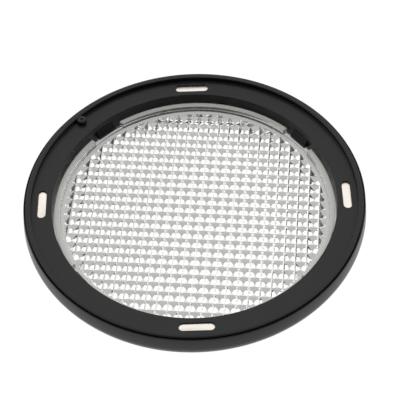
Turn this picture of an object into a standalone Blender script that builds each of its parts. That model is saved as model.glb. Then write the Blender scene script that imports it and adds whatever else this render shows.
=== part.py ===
"""Round magnetic wide-angle diffuser for a flash head: a clear panel of square lenslets in a black ring.

It lies on its front face, z = 0, with the side that meets the flash head up. Lengths are in metres.
Magnets 1 to 4 stand on +X, +Y, -X and -Y.
"""

import math

import bmesh
import bpy
from mathutils import Matrix, Vector

MM = 0.001
GAP = 0.3 * MM  # the room kept between pieces that touch
EDGE = 0.15 * MM  # the small chamfers on the rings' top edges
SEGMENTS = 96  # facets round a turned shape

# Heights above the front face.
HEIGHT = 7.5 * MM  # top of the lip
SEAT = HEIGHT - 1.25 * MM  # the face that meets the flash head
SHELL_TOP = HEIGHT - 0.45 * MM
LAP = 5.9 * MM  # the step where the shell carries the frame's rim
SHELL_BED = 3.0 * MM  # the shell's flat under the frame
COLLAR_TOP = 3.75 * MM
PLATE_TOP = 2.1 * MM
FLANGE_TOP = 1.9 * MM
PLATE_BOTTOM = 1.6 * MM  # the middle, where the lenslets hang
FLANGE_BOTTOM = 1.2 * MM
LEDGE = FLANGE_BOTTOM - GAP

# Radii.
LIP_IN = 38.2 * MM  # clears the rim of the flash head
LIP_OUT = 39.45 * MM
SHELL_TOP_OUT = 39.95 * MM
SHELL_OUT = 40.25 * MM
FRONT_ROUND = 4.0 * MM  # the round between the outer wall and the front face
LAP_IN = 38.9 * MM
BORE_TOP = 33.45 * MM
BORE_BOTTOM = 33.35 * MM
COLLAR_OUT = 33.05 * MM
COLLAR_IN = 31.8 * MM
FLANGE_OUT = 35.6 * MM
FLANGE_IN = 32.3 * MM
OPENING = 34.0 * MM  # the front shell's round opening

# The lenslets, the gaps in the collar and the hooks share one turn against the magnets.
LENS_TURN = math.radians(-5.7)
PITCH = 2.555 * MM
CELLS = 25  # across the array
ARRAY_REACH = 31.0 * MM  # the array is cut to this radius, part cells and all
ROW_SHIFT = 0.58 * MM  # the middle row of cells lies this far off the axis
LENSLET = 1.3 * MM  # height of a lenslet
CELL_STEP = 0.05 * MM  # the array stands this far below the plate
CELL_ROOT = 0.3 * MM  # how far the array is sunk into the plate
COLLAR_GAP = 8.9 * MM
GAP_TURNS = [math.radians(angle) + LENS_TURN for angle in (43.5, 136.5, 223.5, 316.5)]
CUT_PAST = 1.2 * MM  # how far the gaps' cutters run past the collar
HOOK_WIDTH = 5.0 * MM
HOOK_REACH = 32.2 * MM
HOOK_ROOT = 34.25 * MM  # sunk into the frame
HOOK_FOOT = PLATE_TOP + 0.4 * MM
HOOK_NOSE = 0.7 * MM  # height of the hook's upright inner face
HOOK_HEIGHT = 2.2 * MM

# Magnets and their windows.
MAGNET_AT = 35.75 * MM
MAGNET_SIZE = Vector((2.6, 9.6, 2.5)) * MM
MAGNET_PLAY = 0.05 * MM  # between a magnet and the back of its window
WINDOW_SIZE = Vector((1.95, 8.0, 2.0)) * MM
WINDOW_DEPTH = 0.25 * MM

# The locating boss on the lip's inner wall.
BOSS_RADIUS = 1.1 * MM
BOSS_AT = 37.2 * MM
BOSS_TURN = math.radians(136.8)
BOSS_TOP = HEIGHT - 0.1 * MM
BOSS_ROOT = 0.5 * MM  # how far the boss is sunk into the seat
BOSS_SEGMENTS = 20


def clear_scene():
    for obj in list(bpy.data.objects):
        bpy.data.objects.remove(obj)


def collection(name, hidden=False):
    made = bpy.data.collections.new(name)
    made.hide_render = hidden
    bpy.context.scene.collection.children.link(made)
    return made


def material(name, colour, roughness, metallic=0.0, transmission=0.0):
    made = bpy.data.materials.new(name)
    made.use_nodes = True
    shader = made.node_tree.nodes["Principled BSDF"]
    shader.inputs["Base Color"].default_value = (*colour, 1.0)
    shader.inputs["Roughness"].default_value = roughness
    shader.inputs["Metallic"].default_value = metallic
    shader.inputs["Transmission Weight"].default_value = transmission
    made.diffuse_color = (*colour, 1.0)
    return made


def place(name, mesh, home, finish=None):
    obj = bpy.data.objects.new(name, mesh)
    home.objects.link(obj)
    if finish is None:
        obj.hide_render = True
        obj.display_type = "WIRE"
    else:
        mesh.materials.append(finish)
        mesh.shade_smooth()
        mesh.set_sharp_from_angle(angle=math.radians(30))
    return obj


def mesh_of(name, shape):
    bmesh.ops.recalc_face_normals(shape, faces=shape.faces)
    mesh = bpy.data.meshes.new(name)
    shape.to_mesh(mesh)
    shape.free()
    return mesh


def turned(name, outline, home, finish):
    """A turned solid. Its outline, in (radius, height), is closed unless it starts on the axis."""
    ring = all(radius > 0 for radius, _ in outline)
    corners = [(radius, 0.0, height) for radius, height in outline]
    last = len(corners) if ring else len(corners) - 1
    edges = [(i, (i + 1) % len(corners)) for i in range(last)]
    mesh = bpy.data.meshes.new(name)
    mesh.from_pydata(corners, edges, [])
    obj = place(name, mesh, home, finish)
    screw = obj.modifiers.new("turn", "SCREW")
    screw.steps = screw.render_steps = SEGMENTS
    screw.use_merge_vertices = True
    screw.merge_threshold = 0.001 * MM
    screw.use_smooth_shade = True
    return obj


def arc(centre, radius, start, end, steps):
    """Points of an arc in (radius, height), from the start angle to the end angle in degrees."""
    points = []
    for i in range(steps + 1):
        angle = math.radians(start + (end - start) * i / steps)
        points.append((centre[0] + radius * math.cos(angle), centre[1] + radius * math.sin(angle)))
    return points


def bar(name, size, home, finish=None, round_ends=True):
    """An upright prism, size.x by size.y in plan, its ends round or nearly square."""
    shape = bmesh.new()
    bmesh.ops.create_cube(shape, size=1.0)
    bmesh.ops.scale(shape, vec=size, verts=shape.verts)
    upright = [edge for edge in shape.edges if abs(edge.verts[0].co.z - edge.verts[1].co.z) > size.z / 2]
    offset = size.x * (0.49 if round_ends else 0.12)
    bmesh.ops.bevel(shape, geom=upright, offset=offset, segments=6, profile=0.5, affect="EDGES")
    return place(name, mesh_of(name, shape), home, finish)


def post(name, radius, height, home, segments=BOSS_SEGMENTS):
    """An upright round post, centred on its own middle."""
    shape = bmesh.new()
    bmesh.ops.create_cone(
        shape,
        cap_ends=True,
        segments=segments,
        radius1=radius,
        radius2=radius,
        depth=height,
    )
    return place(name, mesh_of(name, shape), home)


def prism(name, outline, width, home):
    """A prism of the outline, given in (radius, height), with its width across."""
    shape = bmesh.new()
    corners = [shape.verts.new((radius, -width / 2, height)) for radius, height in outline]
    face = shape.faces.new(corners)
    grown = bmesh.ops.extrude_face_region(shape, geom=[face])
    moved = [item for item in grown["geom"] if isinstance(item, bmesh.types.BMVert)]
    bmesh.ops.translate(shape, vec=(0, width, 0), verts=moved)
    return place(name, mesh_of(name, shape), home)


def at_turn(obj, radius, angle, height=0.0):
    """Puts the piece at a radius and an angle about the axis, its own X pointing outward."""
    turn = Matrix.Rotation(angle, 4, "Z")
    obj.matrix_world = turn @ Matrix.Translation((radius, 0, height))
    return obj


def combine(obj, other, operation):
    step = obj.modifiers.new(other.name, "BOOLEAN")
    step.object = other
    step.operation = operation
    step.solver = "EXACT"


def front_shell(parts, finish):
    """The outer wall and rounded front, with a ledge for the lens and a lap for the frame."""
    front = arc((SHELL_OUT - FRONT_ROUND, FRONT_ROUND), FRONT_ROUND, 0, -90, 8)
    outline = [
        (LIP_OUT + GAP, SHELL_TOP),
        (SHELL_TOP_OUT - EDGE, SHELL_TOP),
        (SHELL_TOP_OUT, SHELL_TOP - EDGE),
        *front,
        (OPENING, 0.0),
        (OPENING, LEDGE),
        (FLANGE_OUT + GAP, LEDGE),
        (FLANGE_OUT + GAP, SHELL_BED),
        (LAP_IN, SHELL_BED),
        (LAP_IN, LAP),
        (LIP_OUT + GAP, LAP),
    ]
    return turned("front_shell", outline, parts, finish)


def rear_frame(parts, cutters, finish):
    """The lip, the recessed seat with its windows and magnet pockets, the bore, hooks and boss."""
    outline = [
        (LIP_OUT - EDGE, HEIGHT),
        (LIP_OUT, HEIGHT - EDGE),
        (LIP_OUT, LAP + GAP),
        (LAP_IN - GAP, LAP + GAP),
        (LAP_IN - GAP, SHELL_BED + GAP),
        (FLANGE_OUT, SHELL_BED + GAP),
        (FLANGE_OUT, FLANGE_TOP + GAP),
        (BORE_BOTTOM, FLANGE_TOP + GAP),
        (BORE_TOP, SEAT),
        (LIP_IN, SEAT),
        (LIP_IN, HEIGHT - EDGE),
        (LIP_IN + EDGE, HEIGHT),
    ]
    frame = turned("rear_frame", outline, parts, finish)

    boss_foot = SEAT - BOSS_ROOT
    boss = post("boss", BOSS_RADIUS, BOSS_TOP - boss_foot, cutters)
    combine(frame, at_turn(boss, BOSS_AT, BOSS_TURN, (BOSS_TOP + boss_foot) / 2), "UNION")

    hook_outline = [
        (HOOK_ROOT, HOOK_FOOT),
        (HOOK_REACH, HOOK_FOOT),
        (HOOK_REACH, HOOK_FOOT + HOOK_NOSE),
        (BORE_BOTTOM - EDGE, HOOK_FOOT + HOOK_HEIGHT),
        (HOOK_ROOT, HOOK_FOOT + HOOK_HEIGHT),
    ]
    pocket_size = MAGNET_SIZE + Vector((2 * GAP, 2 * GAP, 0))
    pocket_top = SEAT - WINDOW_DEPTH
    pocket_size.z = 2 * (pocket_top - SHELL_BED)
    for i in range(4):
        turn = i * math.pi / 2
        hook = prism(f"hook_{i + 1}", hook_outline, HOOK_WIDTH, cutters)
        combine(frame, at_turn(hook, 0, GAP_TURNS[i]), "UNION")
        window = bar(f"window_{i + 1}", WINDOW_SIZE, cutters)
        combine(frame, at_turn(window, MAGNET_AT, turn, SEAT), "DIFFERENCE")
        pocket = bar(f"pocket_{i + 1}", pocket_size, cutters, round_ends=False)
        combine(frame, at_turn(pocket, MAGNET_AT, turn, pocket_top - pocket_size.z / 2), "DIFFERENCE")
    return frame


def lenslets(cutters):
    """The array: a square grid of cells, each drawn down into a pyramid, cut to a circle."""
    shape = bmesh.new()
    half = CELLS * PITCH / 2
    bmesh.ops.create_grid(shape, x_segments=CELLS, y_segments=CELLS, size=half)
    bmesh.ops.translate(shape, vec=(0, ROW_SHIFT, 0), verts=shape.verts)
    below = list(shape.faces)
    grown = bmesh.ops.extrude_face_region(shape, geom=below, use_keep_orig=True)
    raised = [item for item in grown["geom"] if isinstance(item, bmesh.types.BMVert)]
    bmesh.ops.translate(shape, vec=(0, 0, CELL_ROOT + CELL_STEP), verts=raised)
    bmesh.ops.recalc_face_normals(shape, faces=shape.faces)
    bmesh.ops.poke(shape, faces=below, offset=LENSLET - CELL_STEP)
    array = place("lenslet_array", mesh_of("lenslet_array", shape), cutters)
    combine(array, post("array_disc", ARRAY_REACH, 2 * PLATE_TOP, cutters, SEGMENTS), "INTERSECT")
    return at_turn(array, 0, LENS_TURN, PLATE_BOTTOM - CELL_STEP)


def lens_panel(parts, cutters, finish):
    """One clear moulding: disc, flange, broken collar and the lenslets under the disc."""
    outline = [
        (0.0, PLATE_TOP),
        (COLLAR_IN, PLATE_TOP),
        (COLLAR_IN, COLLAR_TOP),
        (COLLAR_OUT, COLLAR_TOP),
        (COLLAR_OUT, FLANGE_TOP),
        (FLANGE_OUT, FLANGE_TOP),
        (FLANGE_OUT, FLANGE_BOTTOM),
        (FLANGE_IN, FLANGE_BOTTOM),
        (FLANGE_IN, PLATE_BOTTOM),
        (0.0, PLATE_BOTTOM),
    ]
    lens = turned("lens_panel", outline, parts, finish)
    cut_foot = PLATE_TOP + CELL_STEP
    cut_outline = [
        (COLLAR_IN - CUT_PAST, cut_foot),
        (COLLAR_OUT + CUT_PAST, cut_foot),
        (COLLAR_OUT + CUT_PAST, COLLAR_TOP + CUT_PAST),
        (COLLAR_IN - CUT_PAST, COLLAR_TOP + CUT_PAST),
    ]
    for i in range(4):
        cut = prism(f"collar_gap_{i + 1}", cut_outline, COLLAR_GAP, cutters)
        combine(lens, at_turn(cut, 0, GAP_TURNS[i]), "DIFFERENCE")
    combine(lens, lenslets(cutters), "UNION")
    return lens


def magnets(parts, finish):
    height = SEAT - WINDOW_DEPTH - MAGNET_PLAY - MAGNET_SIZE.z / 2
    for i in range(4):
        magnet = bar(f"magnet_{i + 1}", MAGNET_SIZE, parts, finish, round_ends=False)
        at_turn(magnet, MAGNET_AT, i * math.pi / 2, height)


def main():
    clear_scene()
    parts = collection("wide_angle_diffuser")
    cutters = collection("cutters", hidden=True)
    black = material("satin_black_plastic", (0.028, 0.03, 0.03), 0.42)
    clear = material("clear_plastic", (0.93, 0.94, 0.94), 0.05, transmission=0.95)
    nickel = material("nickel_plate", (0.82, 0.79, 0.74), 0.3, metallic=1.0)
    front_shell(parts, black)
    rear_frame(parts, cutters, black)
    lens_panel(parts, cutters, clear)
    magnets(parts, nickel)


main()
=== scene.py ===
"""The looks of the round magnetic wide-angle diffuser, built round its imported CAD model.

Both rings, the clear lens and the four magnets are rebuilt here with rounded edges and real optics. Lengths
are in millimetres in the code, and become metres where a mesh or an object is made.
"""

import math

import bmesh
import bpy
from mathutils import Matrix, Vector


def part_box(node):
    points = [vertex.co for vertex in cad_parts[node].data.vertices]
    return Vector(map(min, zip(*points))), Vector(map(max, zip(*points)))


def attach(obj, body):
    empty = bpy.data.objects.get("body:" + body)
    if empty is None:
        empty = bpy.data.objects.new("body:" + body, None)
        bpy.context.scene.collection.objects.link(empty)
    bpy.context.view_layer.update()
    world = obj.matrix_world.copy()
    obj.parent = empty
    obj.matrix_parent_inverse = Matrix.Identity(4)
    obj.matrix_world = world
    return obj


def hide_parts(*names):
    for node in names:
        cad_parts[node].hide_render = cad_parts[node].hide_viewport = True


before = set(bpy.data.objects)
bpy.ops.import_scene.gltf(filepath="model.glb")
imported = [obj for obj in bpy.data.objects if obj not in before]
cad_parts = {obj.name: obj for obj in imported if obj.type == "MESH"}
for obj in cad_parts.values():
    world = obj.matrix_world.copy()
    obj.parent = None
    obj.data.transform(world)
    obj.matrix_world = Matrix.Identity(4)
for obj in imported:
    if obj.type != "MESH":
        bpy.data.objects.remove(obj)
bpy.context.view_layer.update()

MM = 0.001
SEGMENTS = 256  # facets round a turned shape
ARC_STEPS = 5  # facets in a small fillet
FRONT_STEPS = 16  # facets in the shell's big front round
EASE = 0.3  # the middle step over an eased edge, as a share of the edge


def in_mm(node):
    low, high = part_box(node)
    return low / MM, high / MM


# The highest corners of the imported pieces' boxes, and the lowest of a magnet's.
SHELL_HIGH = in_mm("front_shell")[1]
FRAME_HIGH = in_mm("rear_frame")[1]
LENS_HIGH = in_mm("lens_panel")[1]
MAGNET_LOW, MAGNET_HIGH = in_mm("magnet_1")

GAP = 0.3  # between two neighbouring pieces

# Heights above the front face.
HEIGHT = FRAME_HIGH.z
SEAT = HEIGHT - 1.25
SHELL_TOP = SHELL_HIGH.z
LAP = HEIGHT - 1.6
SHELL_BED = HEIGHT - 4.5
COLLAR_TOP = LENS_HIGH.z
PLATE_TOP = COLLAR_TOP - 1.65
FLANGE_TOP = COLLAR_TOP - 1.85
PLATE_BOTTOM = 1.6
FLANGE_BOTTOM = 1.2
LEDGE = FLANGE_BOTTOM - GAP

# Radii.
SHELL_OUT = SHELL_HIGH.x
SHELL_TOP_OUT = SHELL_OUT - 0.3
FRONT_ROUND = 4.0
LIP_OUT = SHELL_OUT - 0.8
LIP_IN = SHELL_OUT - 2.05
LAP_IN = 38.9
BORE_TOP = 33.45
BORE_BOTTOM = 33.35
COLLAR_OUT = 33.05
COLLAR_IN = 31.8
PLATE_RING = COLLAR_IN - 1.0  # a ring of points on the plate's top
FLANGE_OUT = LENS_HIGH.x
FLANGE_IN = 32.3
OPENING = 34.0

# The lenslets, the gaps in the collar and the hooks share one turn against the magnets.
LENS_TURN = math.radians(-5.7)
PITCH = 2.555
CELLS = 25
ROW_SHIFT = 0.58  # the middle row of cells lies this far off the axis
ARRAY_REACH = 31.0  # the array is cut to this radius
CELL_STEP = 0.02  # the array stands this far below the plate
CELL_ROOT = 0.2  # and its back is sunk this far below the plate's top
SLOPE = math.radians(49.5)  # of a lenslet's sides
VALLEY_ROUND = 0.02  # radius between two lenslets
TIP_ROUND = 0.45  # radius of a lenslet's tip
COLLAR_GAP = 8.9
GAP_TURNS = [math.radians(angle) + LENS_TURN for angle in (43.5, 136.5, 223.5, 316.5)]
GAP_FOOT = PLATE_TOP + 0.02
PAINTED_GLOW_DEPTH = 0.13  # the collar's top carries the pale, matt painted glow this far down from its top
LENS_SHARP = 18  # degrees between two faces of the lens that meet in a sharp edge

HOOK_WIDTH = 5.0
HOOK_REACH = 32.2
HOOK_BACK = BORE_BOTTOM - 0.15  # where the slope of a hook's nose ends
HOOK_ROOT = 34.25
HOOK_FOOT = PLATE_TOP + 0.4
HOOK_NOSE = 0.7
HOOK_HEIGHT = 2.2

# Magnets, windows and the boss.
MAGNET_AT = (MAGNET_LOW.x + MAGNET_HIGH.x) / 2
MAGNET_CORNER = 0.3
MAGNET_EDGE = 0.15
WINDOW_WIDTH = 1.95
WINDOW_LENGTH = 8.0
WINDOW_DEPTH = 0.25
WINDOW_END = WINDOW_WIDTH * 0.499  # a hair under a half round
WINDOW_EDGE = (0.06, 0.08)  # the width and depth of the bevel round it
POCKET_WIDTH = 3.2
POCKET_LENGTH = 10.2
POCKET_CORNER = 0.4
BOSS_RADIUS = 1.1
BOSS_AT = 37.2
BOSS_TURN = math.radians(136.8)
BOSS_TOP = HEIGHT - 0.1
BOSS_ROOT = SEAT - 0.5
BOSS_EDGE = 0.12
DIMPLE_WIDTH = 0.9
DIMPLE_END = 0.449  # a hair under a half round
DIMPLE_DEPTH = 0.25
DIMPLE_DRAFT = 0.15  # how far the dimple narrows on its way down

# How far the cutters run past what they cut: the collar, the frame's faces, the boss and the array.
PAST_COLLAR = 1.2
PAST_FRAME = 1.0
PAST_BOSS = 0.2
PAST_ARRAY = 1.0
WINDOW_CUT_IN = 2.0  # from the seat down into the pocket
WINDOW_CUT_FLARE = 0.4

# The camera, aimed at the middle of the lip's top.
CAMERA_DISTANCE = 329.5
CAMERA_ELEVATION = math.radians(50.855)
CAMERA_TURN = math.radians(1.3)
CAMERA_ROLL = math.radians(-2.894)
CAMERA_LENS = 126.96
CAMERA_SHIFT = (0.0152, -0.0104)

# The floor's half side, its place below the front face, and its glow out in the open and under the lens,
# where the dimmer glow is a painted shadow of the object.
FLOOR_REACH = 2500
FLOOR_DROP = 0.02
FLOOR_OPEN = 1.0
FLOOR_PAINTED_SHADOW = 0.47

# The sky's strength overhead and in the soft ring of light round it, at the back and sides. On the camera's
# side the ring fades to a shade of the full light.
SKY_OVERHEAD = 0.75
SKY_RING = 1.12
SKY_SHADE = 0.1
RING_EDGE = (0.97, 0.88)  # the height of a unit direction at the ring's upper edge
RING_FOOT = (0.02, 0.30)  # and at its lower edge
SIDE_EDGE = (-0.35, -0.05)  # how far back a unit direction points where the ring's light fades in

BOUNCES = 24  # enough for light that turns inside a lenslet and crosses the panel
GLOSSY_BOUNCES = 12


# --- Meshes ------------------------------------------------------------------------------------------


def quarter(i):
    return i * math.pi / 2


def new_object(name, mesh):
    obj = bpy.data.objects.new(name, mesh)
    bpy.context.scene.collection.objects.link(obj)
    return obj


def point(shape, x, y, z):
    return shape.verts.new((x * MM, y * MM, z * MM))


def finished(name, shape):
    bmesh.ops.recalc_face_normals(shape, faces=shape.faces)
    mesh = bpy.data.meshes.new(name)
    shape.to_mesh(mesh)
    shape.free()
    return new_object(name, mesh)


def smooth(obj, sharp=35):
    obj.data.shade_smooth()
    obj.data.set_sharp_from_angle(angle=math.radians(sharp))
    return obj


def at_turn(obj, angle, radius=0.0):
    obj.matrix_world = Matrix.Rotation(angle, 4, "Z") @ Matrix.Translation((radius * MM, 0, 0))
    return obj


def rounded(corners):
    """An outline from corners (radius, height, fillet): each corner with a fillet becomes a short arc."""
    points = []
    count = len(corners)
    for i, (radius, height, fillet) in enumerate(corners):
        here = Vector((radius, height))
        if fillet == 0:
            points.append(here)
            continue
        before = Vector(corners[i - 1][:2]) - here
        after = Vector(corners[(i + 1) % count][:2]) - here
        half = before.angle(after) / 2
        back = fillet / math.tan(half)
        start = here + before.normalized() * back
        end = here + after.normalized() * back
        inward = (before.normalized() + after.normalized()).normalized()
        centre = here + inward * fillet / math.sin(half)
        first = start - centre
        turn = first.angle_signed(end - centre)
        for step in range(ARC_STEPS + 1):
            angle = -turn * step / ARC_STEPS
            points.append(centre + Matrix.Rotation(angle, 2) @ first)
    return points


def turned_shape(outline, closed=True):
    """A bmesh turned about Z from (radius, height) points, with its loops of points."""
    shape = bmesh.new()
    rings = []
    for i in range(SEGMENTS):
        angle = 2 * math.pi * i / SEGMENTS
        across, along = math.cos(angle), math.sin(angle)
        rings.append([point(shape, radius * across, radius * along, height) for radius, height in outline])
    last = len(outline) if closed else len(outline) - 1
    for i in range(SEGMENTS):
        one, two = rings[i], rings[(i + 1) % SEGMENTS]
        for j in range(last):
            k = (j + 1) % len(outline)
            shape.faces.new((one[j], one[k], two[k], two[j]))
    return shape, rings


def turned(name, outline):
    shape, _ = turned_shape(outline)
    return finished(name, shape)


def round_plan(width, length, corner, steps=10):
    """A rounded rectangle's points, each with its outward direction, width along X."""
    plan = []
    for i, (sx, sy) in enumerate(((1, 1), (-1, 1), (-1, -1), (1, -1))):
        for step in range(steps + 1):
            angle = quarter(i) + step / steps * math.pi / 2
            across, along = math.cos(angle), math.sin(angle)
            x = sx * (width / 2 - corner) + corner * across
            y = sy * (length / 2 - corner) + corner * along
            plan.append((x, y, across, along))
    return plan


def slab(name, plan, levels):
    """A solid of stacked copies of a plan, from (height, growth outward) levels, from the bottom up."""
    shape = bmesh.new()
    rows = []
    for height, grow in levels:
        row = []
        for x, y, across, along in plan:
            row.append(point(shape, x + across * grow, y + along * grow, height))
        rows.append(row)
    for low, high in zip(rows, rows[1:]):
        for i in range(len(plan)):
            j = (i + 1) % len(plan)
            shape.faces.new((low[i], low[j], high[j], high[i]))
    shape.faces.new(rows[0][::-1])
    shape.faces.new(rows[-1])
    return finished(name, shape)


def eased(top, edge):
    """A slab's last levels: straight up, then drawn in over its top edge."""
    return [(top - edge, 0), (top - edge * EASE, -edge * EASE), (top, -edge)]


def prism(name, outline, width):
    """A prism of an outline in (radius, height), with its width across."""
    shape = bmesh.new()
    near = [point(shape, radius, -width / 2, height) for radius, height in outline]
    far = [point(shape, radius, width / 2, height) for radius, height in outline]
    shape.faces.new(near)
    shape.faces.new(far[::-1])
    for i in range(len(outline)):
        j = (i + 1) % len(outline)
        shape.faces.new((near[i], far[i], far[j], near[j]))
    return finished(name, shape)


def combine(obj, tools, operation):
    """Cuts, joins or crosses the object with the tools, and removes them."""
    for tool in tools:
        step = obj.modifiers.new(tool.name, "BOOLEAN")
        step.object = tool
        step.operation = operation
        step.solver = "EXACT"
    bpy.context.view_layer.update()
    evaluated = obj.evaluated_get(bpy.context.evaluated_depsgraph_get())
    mesh = bpy.data.meshes.new_from_object(evaluated)
    obj.modifiers.clear()
    obj.data = mesh
    for tool in tools:
        bpy.data.objects.remove(tool)


# --- Materials ---------------------------------------------------------------------------------------


class Nodes:
    """A short way to write a material's nodes."""

    def __init__(self, name):
        self.made = bpy.data.materials.new(name)
        self.made.use_nodes = True
        self.tree = self.made.node_tree
        self.shader = self.tree.nodes["Principled BSDF"]

    def add(self, kind, links=None, **values):
        node = self.tree.nodes.new(kind)
        for key, value in values.items():
            setattr(node, key, value)
        for key, value in (links or {}).items():
            self.set(node, key, value)
        return node

    def set(self, node, key, value):
        if isinstance(value, bpy.types.NodeSocket):
            self.tree.links.new(value, node.inputs[key])
        else:
            node.inputs[key].default_value = value

    def put(self, key, value):
        self.set(self.shader, key, value)

    def noise(self, size_mm, detail=3.0):
        place = self.add("ShaderNodeTexCoord").outputs["Object"]
        links = {"Vector": place, "Scale": 1 / (size_mm * MM), "Detail": detail}
        return self.add("ShaderNodeTexNoise", links).outputs["Fac"]

    def ranged(self, value, low, high, start=0.3, end=0.7):
        links = {"Value": value, "From Min": start, "From Max": end, "To Min": low, "To Max": high}
        return self.add("ShaderNodeMapRange", links).outputs["Result"]

    def blend(self, fac, one, two):
        """Two colours blended. A mix node's colours are its inputs 6 and 7 and its output 2."""
        node = self.add("ShaderNodeMix", {"Factor": fac}, data_type="RGBA")
        node.inputs[6].default_value = (*one, 1)
        node.inputs[7].default_value = (*two, 1)
        return node.outputs[2]

    def bump(self, height, strength, depth_mm):
        links = {"Height": height, "Strength": strength, "Distance": depth_mm * MM}
        self.put("Normal", self.add("ShaderNodeBump", links).outputs["Normal"])


def satin_black():
    """Moulded black plastic with a fine spark-eroded grain."""
    nodes = Nodes("satin_black_plastic")
    broad = nodes.noise(9.0)
    grain = nodes.noise(0.14, 2.0)
    nodes.put("Base Color", nodes.blend(broad, (0.012, 0.0128, 0.0135), (0.0155, 0.0162, 0.0168)))
    nodes.put("Roughness", nodes.ranged(grain, 0.28, 0.38))
    nodes.put("Specular IOR Level", 0.30)
    nodes.bump(grain, 0.22, 0.02)
    return nodes.made


def clear_plastic():
    nodes = Nodes("clear_plastic")
    nodes.put("Base Color", (0.985, 0.982, 0.968, 1))
    nodes.put("Roughness", 0.0)
    nodes.put("Transmission Weight", 1.0)
    nodes.put("IOR", 1.49)
    return nodes.made


def painted_glow_plastic():
    """The same clear plastic made pale, matt and half clear on the collar's top: a warm painted glow that
    stands in for the light the clear collar carries up from the panel.
    """
    nodes = Nodes("painted_glow_plastic")
    cloud = nodes.noise(2.5)
    grain = nodes.noise(0.2)
    nodes.put("Base Color", nodes.blend(cloud, (0.90, 0.87, 0.81), (0.97, 0.95, 0.90)))
    nodes.put("Roughness", nodes.ranged(grain, 0.35, 0.5))
    nodes.put("Transmission Weight", 0.35)
    nodes.put("IOR", 1.49)
    return nodes.made


def nickel():
    nodes = Nodes("nickel_plate")
    cloud = nodes.noise(1.6)
    grain = nodes.noise(0.12, 4.0)
    nodes.put("Base Color", nodes.blend(cloud, (0.93, 0.86, 0.79), (0.86, 0.81, 0.74)))
    nodes.put("Roughness", nodes.ranged(grain, 0.24, 0.38))
    nodes.put("Metallic", 1.0)
    nodes.bump(grain, 0.15, 0.01)
    return nodes.made


# --- Pieces ------------------------------------------------------------------------------------------


def dress(obj, finish, node):
    """Gives a piece its material and slot, lets it ride, and hides the CAD node it stands for."""
    obj.data.materials.clear()
    obj.data.materials.append(finish)
    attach(obj, "root")
    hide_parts(node)


def front_shell(finish):
    round_centre = SHELL_OUT - FRONT_ROUND
    front = []
    for step in range(FRONT_STEPS + 1):
        angle = -math.pi / 2 * step / FRONT_STEPS
        radius = round_centre + FRONT_ROUND * math.cos(angle)
        front.append((radius, FRONT_ROUND + FRONT_ROUND * math.sin(angle), 0))
    outline = rounded(
        [
            (LIP_OUT + GAP, SHELL_TOP, 0.03),
            (SHELL_TOP_OUT, SHELL_TOP, 0.12),
            *front,
            (OPENING, 0.0, 0.15),
            (OPENING, LEDGE, 0.1),
            (FLANGE_OUT + GAP, LEDGE, 0),
            (FLANGE_OUT + GAP, SHELL_BED, 0),
            (LAP_IN, SHELL_BED, 0),
            (LAP_IN, LAP, 0),
            (LIP_OUT + GAP, LAP, 0),
        ]
    )
    dress(smooth(turned("outer_shell", outline)), finish, "front_shell")


def hook(name):
    """A snap hook's nose, rooted in the frame's bore."""
    outline = rounded(
        [
            (HOOK_ROOT, HOOK_FOOT, 0),
            (HOOK_REACH, HOOK_FOOT, 0.1),
            (HOOK_REACH, HOOK_FOOT + HOOK_NOSE, 0.2),
            (HOOK_BACK, HOOK_FOOT + HOOK_HEIGHT, 0.15),
            (HOOK_ROOT, HOOK_FOOT + HOOK_HEIGHT, 0),
        ]
    )
    return prism(name, outline, HOOK_WIDTH)


def boss():
    plan = round_plan(2 * BOSS_RADIUS, 2 * BOSS_RADIUS, BOSS_RADIUS, 12)
    post = slab("boss", plan, [(BOSS_ROOT, 0), *eased(BOSS_TOP, BOSS_EDGE)])
    return at_turn(post, BOSS_TURN, BOSS_AT)


def frame_cuts():
    """The cutters for the windows, the magnets' pockets and the dimple in the boss."""
    cuts = []
    window_plan = round_plan(WINDOW_WIDTH, WINDOW_LENGTH, WINDOW_END)
    pocket_plan = round_plan(POCKET_WIDTH, POCKET_LENGTH, POCKET_CORNER)
    bevel_width, bevel_depth = WINDOW_EDGE
    window_levels = [
        (SEAT - WINDOW_CUT_IN, 0),
        (SEAT - bevel_depth, 0),
        (SEAT, bevel_width),
        (SEAT + PAST_FRAME, WINDOW_CUT_FLARE),
    ]
    pocket_levels = [(SHELL_BED - PAST_FRAME, 0), (SEAT - WINDOW_DEPTH, 0)]
    for i in range(4):
        window = slab(f"window_{i + 1}", window_plan, window_levels)
        pocket = slab(f"pocket_{i + 1}", pocket_plan, pocket_levels)
        for cut in (window, pocket):
            cuts.append(at_turn(cut, quarter(i), MAGNET_AT))
    dimple_plan = round_plan(DIMPLE_WIDTH, DIMPLE_WIDTH, DIMPLE_END)
    dimple_levels = [(BOSS_TOP - DIMPLE_DEPTH, -DIMPLE_DRAFT), (BOSS_TOP + PAST_BOSS, 0)]
    cuts.append(at_turn(slab("dimple", dimple_plan, dimple_levels), BOSS_TURN, BOSS_AT))
    return cuts


def rear_frame(finish):
    outline = rounded(
        [
            (LIP_OUT, HEIGHT, 0.22),
            (LIP_OUT, LAP + GAP, 0),
            (LAP_IN - GAP, LAP + GAP, 0),
            (LAP_IN - GAP, SHELL_BED + GAP, 0),
            (FLANGE_OUT, SHELL_BED + GAP, 0),
            (FLANGE_OUT, FLANGE_TOP + GAP, 0),
            (BORE_BOTTOM, FLANGE_TOP + GAP, 0.1),
            (BORE_TOP, SEAT, 0.15),
            (LIP_IN, SEAT, 0.12),
            (LIP_IN, HEIGHT, 0.2),
        ]
    )
    ring = turned("seat_ring", outline)
    hooks = [at_turn(hook(f"hook_{i + 1}"), GAP_TURNS[i]) for i in range(4)]
    combine(ring, [boss(), *hooks], "UNION")
    combine(ring, frame_cuts(), "DIFFERENCE")
    dress(smooth(ring), finish, "rear_frame")


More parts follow.
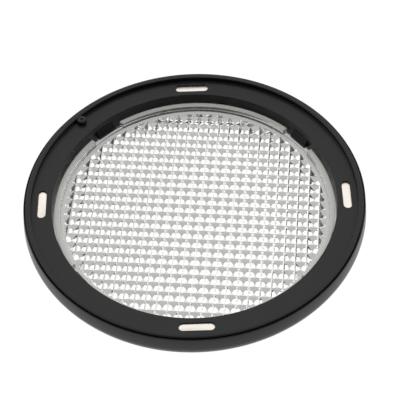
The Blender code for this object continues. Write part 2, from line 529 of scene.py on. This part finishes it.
def magnets(finish):
    size = MAGNET_HIGH - MAGNET_LOW
    plan = round_plan(size.x, size.y, MAGNET_CORNER, 5)
    foot = [(MAGNET_LOW.z, -MAGNET_EDGE), (MAGNET_LOW.z + MAGNET_EDGE, 0)]
    levels = foot + eased(MAGNET_HIGH.z, MAGNET_EDGE)
    for i in range(4):
        magnet = at_turn(slab(f"magnet_bar_{i + 1}", plan, levels), quarter(i), MAGNET_AT)
        dress(smooth(magnet), finish, f"magnet_{i + 1}")


def lenslet_profile():
    """(distance in from the cell's border, depth) down a lenslet's side to its blunt tip."""
    valley = []
    for i in range(3):
        angle = SLOPE * i / 2
        valley.append((VALLEY_ROUND * math.sin(angle), VALLEY_ROUND * (1 - math.cos(angle))))
    drop = valley[-1][1] - valley[-1][0] * math.tan(SLOPE)
    tip = PITCH / 2 - TIP_ROUND * math.sin(SLOPE)
    foot = drop + tip * math.tan(SLOPE)
    half = TIP_ROUND * math.sin(SLOPE / 2)
    return [
        *valley,
        (tip, foot),
        (PITCH / 2 - half, foot + TIP_ROUND * (math.cos(SLOPE / 2) - math.cos(SLOPE))),
        (PITCH / 2, foot + TIP_ROUND * (1 - math.cos(SLOPE))),
    ]


def lenslets():
    """The array: a square grid of pyramids pointing down, cut to a circle, part cells and all."""
    shape = bmesh.new()
    corners = {}
    back = PLATE_TOP - CELL_ROOT
    foot = PLATE_BOTTOM - CELL_STEP

    def corner(column, row, height):
        key = (column, row, height)
        if key not in corners:
            x, y = (column - 0.5) * PITCH, (row - 0.5) * PITCH + ROW_SHIFT
            corners[key] = point(shape, x, y, height)
        return corners[key]

    half = (CELLS - 1) // 2
    cells = range(-half, half + 1)
    *sides, (_, tip_depth) = lenslet_profile()[1:]
    for column in cells:
        for row in cells:
            x, y = column * PITCH, row * PITCH + ROW_SHIFT
            around = ((0, 0), (1, 0), (1, 1), (0, 1))
            shape.faces.new([corner(column + i, row + j, back) for i, j in around])
            outer = [corner(column + i, row + j, foot) for i, j in around]
            for inset, depth in sides:
                reach = PITCH / 2 - inset
                inner = []
                for sx, sy in ((-1, -1), (1, -1), (1, 1), (-1, 1)):
                    inner.append(point(shape, x + sx * reach, y + sy * reach, foot - depth))
                for i in range(4):
                    j = (i + 1) % 4
                    shape.faces.new((outer[i], inner[i], inner[j], outer[j]))
                outer = inner
            apex = point(shape, x, y, foot - tip_depth)
            for i in range(4):
                shape.faces.new((outer[i], apex, outer[(i + 1) % 4]))
    first, last = cells[0], cells[-1] + 1
    for i in cells:
        for one, two in (
            ((i, first), (i + 1, first)),
            ((last, i), (last, i + 1)),
            ((i + 1, last), (i, last)),
            ((first, i + 1), (first, i)),
        ):
            shape.faces.new((corner(*one, foot), corner(*two, foot), corner(*two, back), corner(*one, back)))
    array = finished("lenslets", shape)
    disc_plan = round_plan(2 * ARRAY_REACH, 2 * ARRAY_REACH, ARRAY_REACH, 48)
    disc = slab("disc", disc_plan, [(-PAST_ARRAY, 0), (PLATE_TOP, 0)])
    combine(array, [disc], "INTERSECT")
    return at_turn(array, LENS_TURN)


def lens(finish, painted_glow_finish):
    outline = rounded(
        [
            (PLATE_RING, PLATE_TOP, 0),
            (COLLAR_IN, PLATE_TOP, 0.15),
            (COLLAR_IN, COLLAR_TOP, 0.08),
            (COLLAR_OUT, COLLAR_TOP, 0.12),
            (COLLAR_OUT, FLANGE_TOP, 0.1),
            (FLANGE_OUT, FLANGE_TOP, 0.1),
            (FLANGE_OUT, FLANGE_BOTTOM, 0.1),
            (FLANGE_IN, FLANGE_BOTTOM, 0.1),
            (FLANGE_IN, PLATE_BOTTOM, 0),
        ]
    )
    shape, rings = turned_shape(outline, closed=False)
    top = point(shape, 0, 0, PLATE_TOP)
    below = point(shape, 0, 0, PLATE_BOTTOM)
    for i in range(SEGMENTS):
        one, two = rings[i], rings[(i + 1) % SEGMENTS]
        shape.faces.new((top, one[0], two[0]))
        shape.faces.new((below, two[-1], one[-1]))
    panel = finished("lens", shape)
    combine(panel, [lenslets()], "UNION")
    cut_outline = [
        (COLLAR_IN - PAST_COLLAR, GAP_FOOT),
        (COLLAR_OUT + PAST_COLLAR, GAP_FOOT),
        (COLLAR_OUT + PAST_COLLAR, COLLAR_TOP + PAST_COLLAR),
        (COLLAR_IN - PAST_COLLAR, COLLAR_TOP + PAST_COLLAR),
    ]
    cuts = [at_turn(prism(f"gap_{i + 1}", cut_outline, COLLAR_GAP), GAP_TURNS[i]) for i in range(4)]
    combine(panel, cuts, "DIFFERENCE")
    dress(smooth(panel, LENS_SHARP), finish, "lens_panel")
    # The faces at the collar's top take the second finish, the pale painted glow.
    panel.data.materials.append(painted_glow_finish)
    for face in panel.data.polygons:
        if face.center.z > (COLLAR_TOP - PAINTED_GLOW_DEPTH) * MM:
            face.material_index = 1


# --- Stage -------------------------------------------------------------------------------------------


def floor():
    """A pale floor that glows evenly by itself, so that it shows no cast shadow. Under the lens its glow is
    dimmer, a painted shadow of the object.
    """
    reach = FLOOR_REACH * MM
    corners = [(-reach, -reach, 0), (reach, -reach, 0), (reach, reach, 0), (-reach, reach, 0)]
    mesh = bpy.data.meshes.new("floor")
    mesh.from_pydata(corners, [], [(0, 1, 2, 3)])
    obj = new_object("floor", mesh)
    obj.location.z = -FLOOR_DROP * MM
    nodes = Nodes("floor_white")
    place = nodes.add("ShaderNodeTexCoord").outputs["Object"]
    length = nodes.add("ShaderNodeVectorMath", {0: place}, operation="LENGTH").outputs["Value"]
    # Inside the lens's opening the glow drops to the painted shadow's level.
    glow = nodes.ranged(length, FLOOR_PAINTED_SHADOW, FLOOR_OPEN, OPENING * MM, (SHELL_OUT - FRONT_ROUND) * MM)
    nodes.put("Base Color", (0.03, 0.03, 0.03, 1))
    nodes.put("Roughness", 0.9)
    nodes.put("Specular IOR Level", 0.0)
    nodes.put("Emission Color", (1, 1, 1, 1))
    nodes.put("Emission Strength", glow)
    mesh.materials.append(nodes.made)


def studio():
    """A soft white sky: a ring of light at the back and sides, dimmer overhead and dim in front."""
    world = bpy.data.worlds.new("studio")
    bpy.context.scene.world = world
    world.use_nodes = True
    tree = world.node_tree

    def ranged(value, edges, low, high):
        node = tree.nodes.new("ShaderNodeMapRange")
        node.interpolation_type = "SMOOTHSTEP"
        settings = {"From Min": edges[0], "From Max": edges[1], "To Min": low, "To Max": high}
        for key, number in settings.items():
            node.inputs[key].default_value = number
        tree.links.new(value, node.inputs["Value"])
        return node.outputs["Result"]

    place = tree.nodes.new("ShaderNodeTexCoord")
    axes = tree.nodes.new("ShaderNodeSeparateXYZ")
    tree.links.new(place.outputs["Generated"], axes.inputs[0])
    total = ranged(axes.outputs["Z"], RING_EDGE, SKY_OVERHEAD, SKY_RING)
    foot = ranged(axes.outputs["Z"], RING_FOOT, SKY_SHADE, 1.0)
    side = ranged(axes.outputs["Y"], SIDE_EDGE, SKY_SHADE, 1.0)
    for fade in (foot, side):
        both = tree.nodes.new("ShaderNodeMath")
        both.operation = "MULTIPLY"
        tree.links.new(total, both.inputs[0])
        tree.links.new(fade, both.inputs[1])
        total = both.outputs[0]
    background = tree.nodes["Background"]
    background.inputs["Color"].default_value = (1, 1, 1, 1)
    tree.links.new(total, background.inputs["Strength"])


def camera():
    data = bpy.data.cameras.new("camera")
    obj = new_object("camera", data)
    data.lens = CAMERA_LENS
    data.shift_x, data.shift_y = CAMERA_SHIFT
    data.clip_start = 0.01
    level, rise = math.cos(CAMERA_ELEVATION), math.sin(CAMERA_ELEVATION)
    back = Vector((level * math.sin(CAMERA_TURN), -level * math.cos(CAMERA_TURN), rise))
    aim = Vector((0, 0, HEIGHT * MM))
    obj.rotation_mode = "QUATERNION"
    obj.location = aim + back * CAMERA_DISTANCE * MM
    turn = (-back).to_track_quat("-Z", "Y")
    obj.rotation_quaternion = turn @ Matrix.Rotation(CAMERA_ROLL, 3, "Z").to_quaternion()
    bpy.context.scene.camera = obj


def light_paths():
    cycles = bpy.context.scene.cycles
    cycles.max_bounces = BOUNCES
    cycles.transmission_bounces = BOUNCES
    cycles.glossy_bounces = GLOSSY_BOUNCES
    bpy.context.scene.view_settings.view_transform = "Standard"


black = satin_black()
front_shell(black)
rear_frame(black)
lens(clear_plastic(), painted_glow_plastic())
magnets(nickel())
floor()
studio()
camera()
light_paths()
